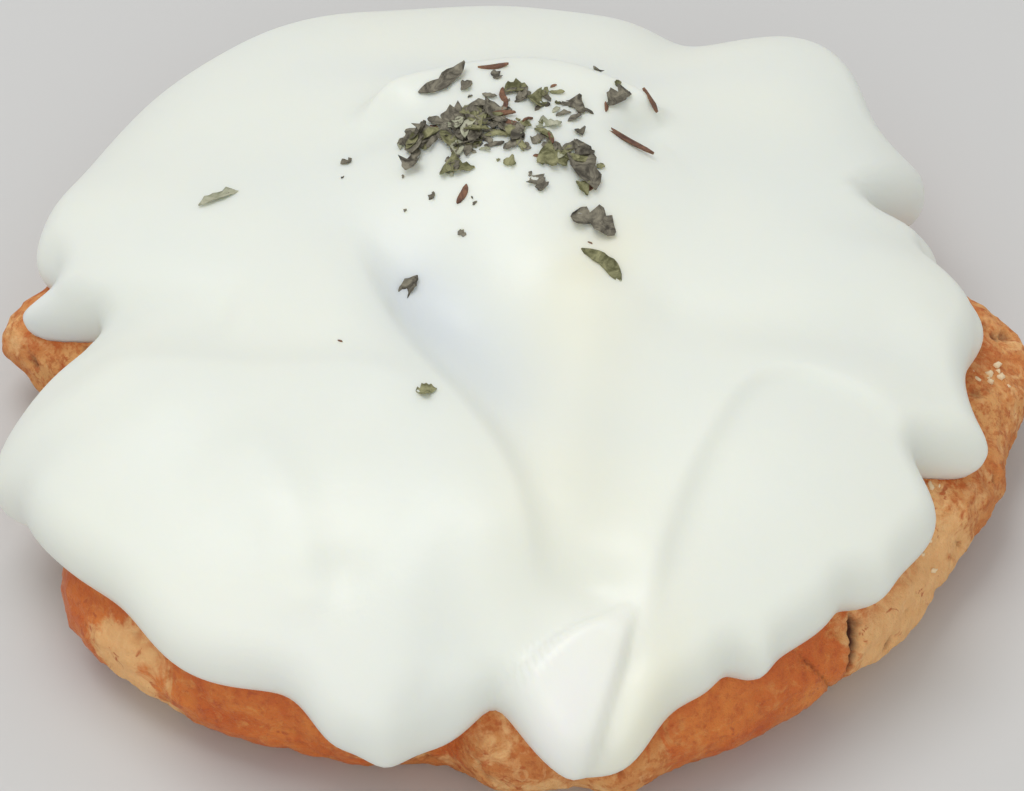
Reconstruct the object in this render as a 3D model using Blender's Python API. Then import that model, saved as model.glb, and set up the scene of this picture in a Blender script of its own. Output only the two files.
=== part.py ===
"""A scone under a poured blanket of thick white cream, with dried herb flakes on its crown."""
import math
import random

import bmesh
import bpy
import numpy as np
from mathutils import Matrix, Vector, noise

MM = 0.001                  # the sizes below are in millimetres and the angles in degrees
GAP = 0.3                   # air between the crust and the cream that lies on it
TURN_STEPS = 112            # columns round the scone, shared by the crust and the cream

# The scone is a turned loaf: a rounded top over a belly, on a foot with a flat base.
SCONE_RADIUS = 42.5
SCONE_HEIGHT = 17.5
BELLY_HEIGHT = 6.0          # where the loaf is widest
SHOULDER_POWER = 2.65       # superellipse power of the top, 2 is round and more is squarer
FOOT_TUCK = 0.11            # how far the foot draws in, as a share of the radius
BULGE_INNER_SHARE = 0.4     # the top stays round inside this share of the radius
BULGE_FULL_SHARE = 0.95     # and is pushed out in full from this one
SCONE_RINGS = 20            # rings down the loaf, from the middle of the top to the base

# What pushes the loaf out of round: azimuth, half width, how far out.
BULGES = {
    "right ear": (2, 14, 0.8),
    "right nick": (16.5, 5, -3.6),
    "rear right shoulder": (52, 7.5, 6.2),
    "rear right dip": (67, 4.5, -2.8),
    "rear": (92, 26, 1.8),
    "rear left shoulder": (119, 9, 3.6),
    "rear left flank": (134, 6, 0.8),
    "left shoulder": (159, 5.5, 1.8),
    "left nick": (179.5, 4.2, -4.6),
    "left fold": (-171, 6, -2.8),
    "left hip": (-158.5, 3.8, -2.8),
    "front left": (-145, 14, 2.5),
    "front left flank": (-107, 8, -1.4),
    "front left notch": (-98.5, 3.2, -1.6),
    "front": (-86, 9, -0.5),
    "front heel": (-76, 3.5, 1.1),
    "front right": (-50, 14, -0.4),
    "right waist": (-24, 4, -0.5),
}

# Ears of crust that stand out only near the rim, below the cream: azimuth, half width, how far.
EARS = {
    "right ear": (9, 8.5, 4.9),
    "right ear corner": (-13, 6, 1.6),
    "left ear": (168.5, 4.4, 4.1),
    "front left nick": (-98.5, 3.2, -1.6),
    "right ear shoulder": (16, 4, 2.5),
    "rear right crust": (26, 4, 0.3),
}
EAR_INNER_SHARE = 0.91      # share of the radius where an ear starts

# The crags of the bare crust.
CRAG_SIZE = 6.0             # distance from one lump to the next
CRAG_DEPTH = 0.9
CRAG_START = 1.5            # the relief starts this far outside the cream
CRAG_FADE = 3.0             # and grows in over this distance, and dies the same way at the base

# The cream: its edge runs round the loaf at EDGE_HEIGHT, lower where it ran down.
EDGE_HEIGHT = 10.8
CREAM_BODY = 5.5            # thickness away from the swells and folds
LIP_RADIUS = 3.6            # the edge rounds off over this distance
CREAM_TOP_RINGS = 22
CREAM_UNDER_RINGS = 11

# Runs and bays of the edge: azimuth, half width, height above the even edge.
RUNS = {
    "right ledge": (-6, 7, 1.7),
    "right ear ledge": (12, 5, 0.7),
    "right shoulder bay": (26, 2.8, 3.7),
    "right shoulder drip": (32, 3.6, -3.0),
    "rear right apron": (66, 7, -3.4),
    "rear apron": (100, 8, -4.0),
    "rear left apron": (140, 9, -3.6),
    "left ear bay": (168, 2.2, 1.2),
    "left drip": (171.5, 2.0, -1.0),
    "left crevice": (175.5, 1.8, 2.0),
    "left fold": (-164, 6.3, -4.8),
    "front left rise": (-138, 5, 0.6),
    "front left run": (-126, 6, -0.8),
    "front left apron": (-108.5, 3.4, -2.6),
    "apron tip": (-103.5, 2.0, -1.5),
    "apron slope": (-99, 3.6, -3.4),
    "bay beside the tongue": (-92, 2.2, 1.3),
    "tongue": (-83.2, 3.5, -2.8),
    "tongue heel": (-77.5, 2.8, -1.5),
    "front right rise": (-50, 12, 0.5),
    "heel scallop": (-63.5, 1.8, 0.5),
    "middle scallop": (-60.3, 1.6, -0.5),
    "crack scallop": (-46.5, 2.0, 0.4),
    "far scallop": (-42.0, 2.2, -0.4),
    "right corner drip": (-16, 2.2, -0.6),
    "right bite": (-23.5, 3.2, 2.2),
}

# Swells and hollows of the cream: centre, half widths, turn, height. Places on the cream are
# measured along the top of the loaf from its middle, so (x, y) is where they would lie unrolled.
SWELLS = {
    "crown": (1.0, 13.4, 8.8, 7.6, 0, 4.8),
    "front left lobe": (-16.0, -23.0, 11.5, 8.0, 0, 1.8),
    "left lobe": (-31.0, -13.0, 6.0, 5.0, 20, 1.4),
    "front right lobe": (24.0, -20.0, 7.0, 6.0, -30, 1.0),
    "right lobe": (28.0, 5.0, 8.0, 7.0, 0, 0.8),
    "left shoulder": (-26.0, 8.0, 8.0, 6.0, 0, 0.8),
    "hollow": (-5.0, -4.0, 3.8, 6.4, 35, -2.8),
    "crest end left": (-9.4, 18.0, 3.2, 1.4, 28, -0.7),
    "crest end right": (10.6, 17.4, 2.2, 1.4, -38, -0.6),
    "dip above the tongue": (6.8, -32.0, 2.4, 1.6, 0, -1.2),
    "valley left of the tongue": (-3.6, -39.5, 2.2, 3.0, -10, -0.9),
    "right rim": (44.0, 2.0, 5.0, 8.0, 0, -1.8),
    "left rim": (-44.0, 5.0, 5.0, 6.0, 0, -2.0),
    "dimple": (-13.8, -31.6, 1.7, 1.5, 0, -0.4),
    "fill above the apron": (-5.0, -31.0, 4.6, 8.0, 0, 1.3),
    "fill at the left hip": (-38.0, -14.5, 3.6, 3.6, 0, 1.0),
    "right shoulder rim": (37.5, 23.5, 4.0, 4.0, 0, -1.2),
}

# Folds of the cream: height, half width to the left and to the right of the way, and the way.
FOLDS = {
    "crown crest": (2.7, 0.9, 3.4, [(-13.4, 18.2), (-9.6, 21.6), (-3.4, 23.5), (1.8, 24.2),
                                    (8.1, 22.4), (11.4, 19.8), (12.6, 17.8)]),
    "left bank": (1.15, 1.2, 4.4, [(-14.6, 7), (-12.2, -1), (-8.6, -8.5), (-4.2, -16), (-1.0, -22),
                                   (0.8, -28), (1.4, -35)]),
    "lobe crest": (0.6, 1.6, 4.4, [(-38, -6), (-31, -9), (-24.6, -10.6), (-17, -11.4), (-12, -12.2),
                                   (-6, -16)]),
    "lobe valley": (-0.5, 2.4, 2.6, [(-22, -4), (-30, -3.5), (-42, -1)]),
    "inner arc": (0.35, 1.4, 2.4, [(-22, -16), (-19.6, -20), (-17.6, -24), (-16.6, -28),
                                   (-15.6, -32), (-15, -35)]),
    "centre ridge": (0.9, 2.8, 2.8, [(8, 2), (6.6, -5), (5.4, -14), (4.6, -22), (4.4, -30)]),
    "scoop rim": (0.8, 0.9, 2.8, [(34, -15), (30.6, -11.8), (24.3, -9.6), (19.6, -11.4),
                                  (15.8, -18), (13.0, -25), (11.2, -31), (10.4, -36)]),
    "right valley": (-0.6, 2.2, 2.6, [(10, -3), (18, -4.4), (26, -4.6), (36, -2)]),
    "tongue crease": (-0.6, 0.9, 1.8, [(10.0, -35.4), (8.4, -38.6), (7.0, -41.8), (6.0, -46)]),
}
PATH_SAMPLES = 100          # points read along each fold's way
FOLD_BLEND = 0.04           # distance over which a fold blends its stretches, at the fold
FOLD_SPREAD = 0.06          # and how much that grows with every millimetre away from it
FOLD_END = 0.18             # share of a fold's length over which its ends fade

# Laps of cream with a flat top and a crisp rim: centre, half widths, turn, taper, height.
LAPS = {
    "tongue lap": (3.9, -40.8, 3.2, 8.2, -37, 0.6, 1.1),
}
LAP_RIM = 0.2               # half the rim's width, as a share of the lap's
EDGE_STEPS = 720            # points read round the cream's edge


# The dried herb flakes on the cream: place, length, width and turn.
LARGE_FLAKES = {
    "tapered leaf": (-5.4, 20.9, 5.1, 1.6, 33),
    "brown sliver": (-1.3, 22.4, 2.8, 0.8, 5),
    "long stem": (9.4, 15.4, 7.6, 0.8, -33),
    "short stem": (12.0, 19.4, 2.6, 0.8, -50),
    "large leaf": (6.3, 10.5, 6.0, 2.4, -72),
    "curled leaf": (3.7, 10.8, 3.0, 2.0, 20),
    "leaf cluster": (7.4, 5.1, 4.2, 2.6, -20),
    "olive strip": (8.3, 1.0, 5.0, 1.2, -46),
    "oval leaf": (-8.7, 0.3, 2.8, 1.2, 62),
    "pale sliver": (-24.6, 10.7, 3.9, 1.0, 30),
    "lone flake": (-6.7, -15.0, 1.8, 1.2, 10),
    "right flake": (9.4, 19.0, 2.4, 1.6, 40),
    "rear flake": (2.6, 18.0, 2.4, 1.8, -20),
    "rear green flake": (0.6, 19.9, 2.2, 1.2, 10),
    "rear strip": (5.6, 17.8, 2.6, 1.2, -35),
    "yellow cluster": (-4.4, 10.3, 3.2, 1.6, 0),
    "heap left": (-7.2, 14.6, 3.4, 1.8, 20),
    "heap rear": (-4.2, 16.2, 3.8, 2.0, -15),
    "heap right": (-1.1, 16.2, 3.2, 1.8, 35),
    "heap front": (-3.6, 13.2, 3.6, 1.6, 5),
    "heap end": (0.3, 13.6, 3.0, 1.4, -40),
    "pale flake": (3.4, 14.8, 2.4, 1.4, 15),
    "front flake": (2.6, 8.2, 1.8, 1.5, -60),
    "red flake": (-3.9, 7.6, 2.0, 1.0, 60),
}
SMALL_FLAKES = 22
SMALL_FLAKE_LENGTH = (1.1, 1.8)
SCATTER_CENTRE = (0.5, 12.5)
SCATTER_SPREAD = (7.0, 4.5)
FLAKE_CLEARANCE = 0.6       # between the small flakes and the rims of all others
FLAKE_SIDES = 6
FLAKE_ROOT = 0.8            # how deep a flake is sunk in the cream
FLAKE_LIFT = (0.5, 1.0)     # how far its rim stands out
FLAKE_SEED = 11


def azimuth_bumps(theta, table):
    """Sum the table's rounded bumps, each a bell of one half width, at the angles theta."""
    azimuth = np.degrees(theta)
    total = np.zeros_like(azimuth)
    for centre, half_width, height in table.values():
        off = (azimuth - centre + 180.0) % 360.0 - 180.0
        total = total + height * np.exp(-0.5 * (off / half_width) ** 2)
    return total


def ease(x):
    """Smooth step from 0 to 1."""
    x = np.clip(x, 0.0, 1.0)
    return x * x * (3.0 - 2.0 * x)


def loaf_profile(samples=900):
    """Return the loaf's half section: share of the radius, height and run along it."""
    turn = np.linspace(0.0, math.pi / 2, samples)
    top_share = np.sin(turn) ** (2.0 / SHOULDER_POWER)
    top_height = BELLY_HEIGHT + (SCONE_HEIGHT - BELLY_HEIGHT) * np.cos(turn) ** (2.0 / SHOULDER_POWER)
    foot_height = np.linspace(BELLY_HEIGHT, 0.0, samples // 3)[1:]
    foot_share = 1.0 - FOOT_TUCK * (1.0 - foot_height / BELLY_HEIGHT) ** 2
    share = np.concatenate([top_share, foot_share])
    height = np.concatenate([top_height, foot_height])
    steps = np.hypot(np.diff(share * SCONE_RADIUS), np.diff(height))
    run = np.concatenate([[0.0], np.cumsum(steps)])
    return share, height, run


SHARE, HEIGHT, RUN = loaf_profile()
FULL_RUN = RUN[-1]          # from the middle of the top down to the edge of the base


def loaf_point(theta, run):
    """Return the point of the smooth loaf at an angle and a run from the middle of its top."""
    share = np.interp(run, RUN, SHARE)
    spread = ease((share - BULGE_INNER_SHARE) / (BULGE_FULL_SHARE - BULGE_INNER_SHARE))
    rim = ease((share - EAR_INNER_SHARE) / (1.0 - EAR_INNER_SHARE))
    push = azimuth_bumps(theta, BULGES) * spread + azimuth_bumps(theta, EARS) * rim
    radius = share * (SCONE_RADIUS + push)
    height = np.interp(run, RUN, HEIGHT)
    return np.stack([radius * np.cos(theta), radius * np.sin(theta), height], axis=-1)


def loaf_normal(theta, run):
    """Return the loaf's outward normal, as on the round loaf before its bulges."""
    step = 0.5
    before = np.clip(run - step, 0.0, FULL_RUN)
    after = np.clip(run + step, 0.0, FULL_RUN)
    out = (np.interp(after, RUN, SHARE) - np.interp(before, RUN, SHARE)) * SCONE_RADIUS
    drop = np.interp(before, RUN, HEIGHT) - np.interp(after, RUN, HEIGHT)
    length = np.hypot(out, drop)
    return np.stack([drop / length * np.cos(theta), drop / length * np.sin(theta), out / length], axis=-1)


def edge_run(theta):
    """Return how far down the loaf the cream's edge lies at an angle."""
    height = EDGE_HEIGHT + azimuth_bumps(theta, RUNS)
    return np.interp(-height, -HEIGHT, RUN)


def smooth_way(points):
    """Return points along a rounded way through the given ones."""
    points = np.array(points, float)
    padded = np.vstack([2 * points[0] - points[1], points, 2 * points[-1] - points[-2]])
    way = []
    for step in np.linspace(0.0, len(points) - 1 - 1e-9, PATH_SAMPLES):
        index = int(step)
        t = step - index
        a, b, c, d = padded[index:index + 4]
        way.append(0.5 * (2 * b + (c - a) * t + (2 * a - 5 * b + 4 * c - d) * t * t
                          + (3 * b - a - 3 * c + d) * t ** 3))
    return np.array(way)


def fold_height(x, y, height, left, right, points):
    """Return a fold's height: a bell across its way, narrower on one side, fading at its ends."""
    way = smooth_way(points)
    steps = np.diff(way, axis=0)
    from_x = x[..., None] - way[:-1, 0]
    from_y = y[..., None] - way[:-1, 1]
    t = np.clip((from_x * steps[:, 0] + from_y * steps[:, 1]) / (steps ** 2).sum(axis=1), 0.0, 1.0)
    off_x = from_x - t * steps[:, 0]
    off_y = from_y - t * steps[:, 1]
    distance = np.hypot(off_x, off_y)
    width = np.where(steps[:, 0] * off_y > steps[:, 1] * off_x, left, right)
    along = (np.arange(len(steps)) + t) / len(steps)
    fade = ease(along / FOLD_END) * ease((1.0 - along) / FOLD_END)
    nearest = distance.min(axis=-1, keepdims=True)
    weight = np.exp((nearest - distance) / (FOLD_BLEND + FOLD_SPREAD * nearest))
    bell = fade * np.exp(-0.5 * (distance / width) ** 2)
    return height * (weight * bell).sum(axis=-1) / weight.sum(axis=-1)


def swell_height(x, y, centre_x, centre_y, width, depth, turn, height):
    cos, sin = math.cos(math.radians(turn)), math.sin(math.radians(turn))
    across = (x - centre_x) * cos + (y - centre_y) * sin
    along = (y - centre_y) * cos - (x - centre_x) * sin
    return height * np.exp(-0.5 * ((across / width) ** 2 + (along / depth) ** 2))


def lap_height(x, y, centre_x, centre_y, width, depth, turn, taper, height):
    cos, sin = math.cos(math.radians(turn)), math.sin(math.radians(turn))
    across = (x - centre_x) * cos + (y - centre_y) * sin
    along = (y - centre_y) * cos - (x - centre_x) * sin
    across = across / np.maximum(1.0 - taper * along / depth, 0.1)
    reach = (np.abs(across / width) ** 3 + np.abs(along / depth) ** 3) ** (1 / 3)
    return height * ease((1.0 + LAP_RIM - reach) / (2 * LAP_RIM))


def cream_depth(x, y):
    """Return the cream's thickness before its edge rounds off."""
    depth = np.full(x.shape, CREAM_BODY)
    for lap in LAPS.values():
        depth = depth + lap_height(x, y, *lap)
    for swell in SWELLS.values():
        depth = depth + swell_height(x, y, *swell)
    for fold in FOLDS.values():
        depth = depth + fold_height(x, y, *fold)
    return depth


def edge_distance(x, y):
    """Return the distance to the cream's edge, on the unrolled top of the loaf."""
    theta = np.linspace(-math.pi, math.pi, EDGE_STEPS + 1)
    reach = edge_run(theta)
    corners = np.stack([reach * np.cos(theta), reach * np.sin(theta)], axis=-1)
    nearest = np.full(x.shape, np.inf)
    for start, end in zip(corners, corners[1:]):
        step_x, step_y = end - start
        length = step_x ** 2 + step_y ** 2
        t = np.clip(((x - start[0]) * step_x + (y - start[1]) * step_y) / length, 0.0, 1.0)
        square = (x - start[0] - t * step_x) ** 2 + (y - start[1] - t * step_y) ** 2
        nearest = np.minimum(nearest, square)
    return np.sqrt(nearest)


def cream_top(theta, run):
    """Return the point of the cream's upper surface over the loaf's point."""
    x, y = run * np.cos(theta), run * np.sin(theta)
    inward = np.clip(edge_distance(x, y) / LIP_RADIUS, 0.0, 1.0)
    inward = np.where(run >= edge_run(theta) - 1e-6, 0.0, inward)
    rounding = np.sqrt(1.0 - (1.0 - inward) ** 2)
    lift = GAP + cream_depth(x, y) * rounding
    return loaf_point(theta, run) + loaf_normal(theta, run) * lift[..., None]


def cream_underside(theta, run):
    return loaf_point(theta, run) + loaf_normal(theta, run) * GAP


# ---- Blender: the blanks, the pieces and their materials ----

def clear_scene():
    for scene_object in list(bpy.data.objects):
        bpy.data.objects.remove(scene_object, do_unlink=True)


def plain_material(name, colour, roughness, subsurface=0.0):
    material = bpy.data.materials.new(name)
    material.use_nodes = True
    shader = material.node_tree.nodes["Principled BSDF"]
    shader.inputs["Base Color"].default_value = (*colour, 1.0)
    shader.inputs["Roughness"].default_value = roughness
    shader.inputs["Metallic"].default_value = 0.0
    shader.inputs["Subsurface Weight"].default_value = subsurface
    return material


def turned_blank(ring_count):
    """Spin a drum closed at both ends, whose height counts its rings from 0 at the top."""
    bm = bmesh.new()
    ends = [(0.0, 0), *[(1.0, ring) for ring in range(1, ring_count)], (0.0, ring_count)]
    rail = [bm.verts.new((radius, 0.0, -float(ring))) for radius, ring in ends]
    edges = [bm.edges.new(pair) for pair in zip(rail, rail[1:])]
    bmesh.ops.spin(bm, geom=rail + edges, cent=(0, 0, 0), axis=(0, 0, 1), angle=math.tau,
                   steps=TURN_STEPS, use_merge=True)
    bmesh.ops.remove_doubles(bm, verts=bm.verts, dist=1e-4)
    bmesh.ops.recalc_face_normals(bm, faces=bm.faces)
    return bm


def finish_object(bm, name, material):
    """Turn a bmesh in millimetres into a smooth-shaded object in metres."""
    bmesh.ops.transform(bm, matrix=Matrix.Scale(MM, 4), verts=bm.verts)
    bmesh.ops.triangulate(bm, faces=bm.faces)
    mesh = bpy.data.meshes.new(name)
    bm.to_mesh(mesh)
    bm.free()
    mesh.materials.append(material)
    mesh.shade_smooth()
    piece = bpy.data.objects.new(name, mesh)
    bpy.context.scene.collection.objects.link(piece)
    return piece


def place_rings(bm, places):
    """Move the blank's vertices to places(theta, ring), one call for all of them."""
    bm.verts.ensure_lookup_table()
    theta = np.array([math.atan2(vert.co.y, vert.co.x) for vert in bm.verts])
    ring = np.array([round(-vert.co.z) for vert in bm.verts])
    for vert, point in zip(bm.verts, places(theta, ring)):
        vert.co = Vector(point)


def crag_relief(points, theta, run):
    """Return the bare crust's relief in millimetres: lumps and pits where no cream lies."""
    bare = ease((run - edge_run(theta) - CRAG_START) / CRAG_FADE)
    above_base = ease((FULL_RUN - run) / CRAG_FADE)
    lumps = []
    for point in points:
        place = Vector(point) / CRAG_SIZE
        lumps.append(noise.noise(place) + 0.5 * noise.noise(place * 2.3))
    return CRAG_DEPTH * np.array(lumps) * bare * above_base


def make_scone():
    runs = np.append(FULL_RUN * np.linspace(0.0, 1.0, SCONE_RINGS) ** 0.7, 0.0)

    def places(theta, ring):
        run = runs[np.minimum(ring, SCONE_RINGS)]
        points = loaf_point(theta, run)
        points = points + loaf_normal(theta, run) * crag_relief(points, theta, run)[:, None]
        points[ring == SCONE_RINGS] = 0.0
        return points

    bm = turned_blank(SCONE_RINGS)
    place_rings(bm, places)
    return finish_object(bm, "scone", plain_material("baked crust", (0.47, 0.23, 0.10), 0.7))


def make_cream():
    top = 1.0 - (1.0 - np.linspace(0.0, 1.0, CREAM_TOP_RINGS)) ** 2
    under = 1.0 - np.linspace(0.0, 1.0, CREAM_UNDER_RINGS) ** 2
    shares = np.concatenate([top, under[1:]])
    last_ring = len(shares) - 1

    def places(theta, ring):
        run = edge_run(theta) * shares[ring]
        is_top = (ring < CREAM_TOP_RINGS)[:, None]
        return np.where(is_top, cream_top(theta, run), cream_underside(theta, run))

    bm = turned_blank(last_ring)
    place_rings(bm, places)
    return finish_object(bm, "cream", plain_material("white cream", (0.83, 0.85, 0.82), 0.3, 0.3))


def scattered_flakes(rng):
    """Return small flakes drawn round the crown, clear of the large ones and of each other."""
    taken = [(x, y, length / 2) for x, y, length, _, _ in LARGE_FLAKES.values()]
    small = []
    while len(small) < SMALL_FLAKES:
        x = rng.gauss(SCATTER_CENTRE[0], SCATTER_SPREAD[0])
        y = rng.gauss(SCATTER_CENTRE[1], SCATTER_SPREAD[1])
        length = rng.uniform(*SMALL_FLAKE_LENGTH)
        reach = length / 2 + FLAKE_CLEARANCE
        if all(math.hypot(x - ox, y - oy) > reach + other for ox, oy, other in taken):
            taken.append((x, y, length / 2))
            small.append((x, y, length, length * rng.uniform(0.5, 0.8), rng.uniform(0, 180)))
    return small


def frame_on_cream(x, y):
    """Return the matrix whose origin is on the cream over (x, y) and whose Z leaves it."""
    step = 0.4
    spots = np.array([(x, y), (x + step, y), (x, y + step)])
    theta = np.arctan2(spots[:, 1], spots[:, 0])
    points = [Vector(point) for point in cream_top(theta, np.hypot(spots[:, 0], spots[:, 1]))]
    east = (points[1] - points[0]).normalized()
    out = east.cross(points[2] - points[0]).normalized()
    axes = Matrix((east, out.cross(east), out)).transposed()
    return Matrix.Translation(points[0]) @ axes.to_4x4()


def herb_flake(flake, rng):
    """Return a pointed, uneven leaf scrap as an object, its root sunk in the cream."""
    x, y, length, width, turn = flake
    bm = bmesh.new()
    bmesh.ops.create_circle(bm, cap_ends=True, cap_tris=True, segments=FLAKE_SIDES, radius=0.5)
    for vert in bm.verts:
        vert.co.x *= length
        vert.co.y *= width * rng.uniform(0.75, 1.2)
        vert.co.z = -FLAKE_ROOT
    raised = bmesh.ops.extrude_face_region(bm, geom=bm.faces[:])
    for vert in (item for item in raised["geom"] if isinstance(item, bmesh.types.BMVert)):
        vert.co.z = rng.uniform(*FLAKE_LIFT)
    bmesh.ops.recalc_face_normals(bm, faces=bm.faces)
    spin = Matrix.Rotation(math.radians(turn), 4, "Z")
    bmesh.ops.transform(bm, matrix=frame_on_cream(x, y) @ spin, verts=bm.verts)
    return bm


def fuse(piece, collection):
    """Join the collection's objects to the piece with one Boolean union, then remove them."""
    union = piece.modifiers.new("fuse", "BOOLEAN")
    union.operation = "UNION"
    union.solver = "EXACT"
    union.operand_type = "COLLECTION"
    union.collection = collection
    bpy.context.view_layer.objects.active = piece
    bpy.ops.object.modifier_apply(modifier=union.name)
    for tool in list(collection.objects):
        bpy.data.objects.remove(tool, do_unlink=True)
    bpy.data.collections.remove(collection)


def shell_round(vert):
    """Return every vertex that edges join to this one."""
    shell = {vert}
    front = [vert]
    while front:
        here = front.pop()
        near = {edge.other_vert(here) for edge in here.link_edges} - shell
        shell |= near
        front.extend(near)
    return shell


def keep_largest_shell(piece):
    """Drop whatever the union left apart from the main body, inside it or outside."""
    bm = bmesh.new()
    bm.from_mesh(piece.data)
    waiting = set(bm.verts)
    largest = set()
    while waiting:
        shell = shell_round(next(iter(waiting)))
        waiting -= shell
        largest = max(largest, shell, key=len)
    scraps = [vert for vert in bm.verts if vert not in largest]
    bmesh.ops.delete(bm, geom=scraps, context="VERTS")
    bm.to_mesh(piece.data)
    bm.free()


def add_flakes(cream):
    rng = random.Random(FLAKE_SEED)
    flakes = bpy.data.collections.new("flakes")
    bpy.context.scene.collection.children.link(flakes)
    material = cream.data.materials[0]
    for flake in [*LARGE_FLAKES.values(), *scattered_flakes(rng)]:
        scrap = finish_object(herb_flake(flake, rng), "flake", material)
        bpy.context.scene.collection.objects.unlink(scrap)
        flakes.objects.link(scrap)
    fuse(cream, flakes)
    keep_largest_shell(cream)


clear_scene()
make_scone()
add_flakes(make_cream())
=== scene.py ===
# %% [markdown]
# # A scone under poured cream
#
# A baked scone lies on a board. A thick white cream was spooned over it, slumped, and ran down
# over the edge in laps and tongues. Dried herbs were pinched over the highest part.
#
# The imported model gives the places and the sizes. This script replaces its plain solids with
# the same forms at full detail, gives every surface its finish, and sets the light.

import math
import random

import bmesh
import bpy
import numpy as np
from mathutils import Matrix, Vector, noise


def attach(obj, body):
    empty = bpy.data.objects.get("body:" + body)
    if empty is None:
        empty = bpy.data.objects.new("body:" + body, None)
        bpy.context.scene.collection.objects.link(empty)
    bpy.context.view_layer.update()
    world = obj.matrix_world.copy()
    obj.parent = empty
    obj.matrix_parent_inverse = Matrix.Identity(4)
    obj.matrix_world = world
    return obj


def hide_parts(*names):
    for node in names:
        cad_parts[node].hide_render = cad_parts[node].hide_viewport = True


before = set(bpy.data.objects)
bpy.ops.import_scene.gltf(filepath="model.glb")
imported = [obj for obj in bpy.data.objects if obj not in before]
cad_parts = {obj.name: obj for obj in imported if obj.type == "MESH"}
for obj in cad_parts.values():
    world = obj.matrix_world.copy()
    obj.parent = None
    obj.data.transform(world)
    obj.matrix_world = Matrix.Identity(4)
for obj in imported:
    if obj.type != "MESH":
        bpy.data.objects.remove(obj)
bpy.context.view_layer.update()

MM = 0.001                  # the forms below are worked out in millimetres
GAP = 0.3                   # the solids' gap between crust and cream
print("nodes:", sorted(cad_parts))

# %% [markdown]
# ## The form of the loaf
#
# A scone that was shaped by hand is nearly round. It could be sculpted, but a turned profile that
# named bulges push out of round is easier to read and to change, and the cream can be laid on it
# by the same rule. A place on the loaf is an angle round it and a run: the length along its
# surface from the middle of the top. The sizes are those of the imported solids.

# %% The loaf's sizes
SCONE_RADIUS = 42.5
SCONE_HEIGHT = 17.5
BELLY_HEIGHT = 6.0
SHOULDER_POWER = 2.65
FOOT_TUCK = 0.11
BULGE_INNER_SHARE = 0.4     # the top stays round inside this share of the radius
BULGE_FULL_SHARE = 0.95     # and is pushed out in full from this one

# Azimuth in degrees, half width in degrees, how far out.
BULGES = {
    "right ear": (2, 14, 0.8),
    "right nick": (16.5, 5, -3.6),
    "rear right shoulder": (52, 7.5, 6.2),
    "rear right dip": (67, 4.5, -2.8),
    "rear": (92, 26, 1.8),
    "rear left shoulder": (119, 9, 3.6),
    "rear left flank": (134, 6, 0.8),
    "left shoulder": (159, 5.5, 1.8),
    "left nick": (179.5, 4.2, -4.6),
    "left fold": (-171, 6, -2.8),
    "left hip": (-158.5, 3.8, -2.8),
    "front left": (-145, 14, 2.5),
    "front left flank": (-107, 8, -1.4),
    "front left notch": (-98.5, 3.2, -1.6),
    "front": (-86, 9, -0.5),
    "front heel": (-76, 3.5, 1.1),
    "front right": (-50, 14, -0.4),
    "right waist": (-24, 4, -0.5),
}
# Ears and nicks of the crust that show only near its rim, below the cream.
EARS = {
    "right ear": (9, 8.5, 4.9),
    "right ear corner": (-13, 6, 1.6),
    "left ear": (168.5, 4.4, 4.1),
    "front left nick": (-98.5, 3.2, -1.6),
    "right ear shoulder": (16, 4, 2.5),
    "rear right crust": (26, 4, 0.3),
}
EAR_INNER_SHARE = 0.91      # share of the radius where an ear starts
print(f"loaf: {len(BULGES)} bulges, {len(EARS)} ears and nicks")


# %% Turning the loaf's profile
def ease(x):
    """Smooth step from 0 to 1."""
    x = np.clip(x, 0.0, 1.0)
    return x * x * (3.0 - 2.0 * x)


def azimuth_bumps(theta, table):
    """Return the sum of a table's bells round the loaf."""
    azimuth = np.degrees(theta)
    total = np.zeros_like(azimuth)
    for centre, half_width, height in table.values():
        off = (azimuth - centre + 180.0) % 360.0 - 180.0
        total = total + height * np.exp(-0.5 * (off / half_width) ** 2)
    return total


def loaf_profile(samples=900):
    """Return the loaf's half section: share of the radius, height and run along it."""
    turn = np.linspace(0.0, math.pi / 2, samples)
    top_share = np.sin(turn) ** (2.0 / SHOULDER_POWER)
    rise = (SCONE_HEIGHT - BELLY_HEIGHT) * np.cos(turn) ** (2.0 / SHOULDER_POWER)
    top_height = BELLY_HEIGHT + rise
    foot_height = np.linspace(BELLY_HEIGHT, 0.0, samples // 3)[1:]
    foot_share = 1.0 - FOOT_TUCK * (1.0 - foot_height / BELLY_HEIGHT) ** 2
    share = np.concatenate([top_share, foot_share])
    height = np.concatenate([top_height, foot_height])
    steps = np.hypot(np.diff(share * SCONE_RADIUS), np.diff(height))
    return share, height, np.concatenate([[0.0], np.cumsum(steps)])


SHARE, HEIGHT, RUN = loaf_profile()
FULL_RUN = RUN[-1]


def loaf_point(theta, run):
    """Return the point of the smooth loaf at an angle and a run."""
    share = np.interp(run, RUN, SHARE)
    spread = ease((share - BULGE_INNER_SHARE) / (BULGE_FULL_SHARE - BULGE_INNER_SHARE))
    rim = ease((share - EAR_INNER_SHARE) / (1.0 - EAR_INNER_SHARE))
    radius = SCONE_RADIUS + azimuth_bumps(theta, BULGES) * spread + azimuth_bumps(theta, EARS) * rim
    radius = share * radius
    height = np.interp(run, RUN, HEIGHT)
    return np.stack([radius * np.cos(theta), radius * np.sin(theta), height], axis=-1)


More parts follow.
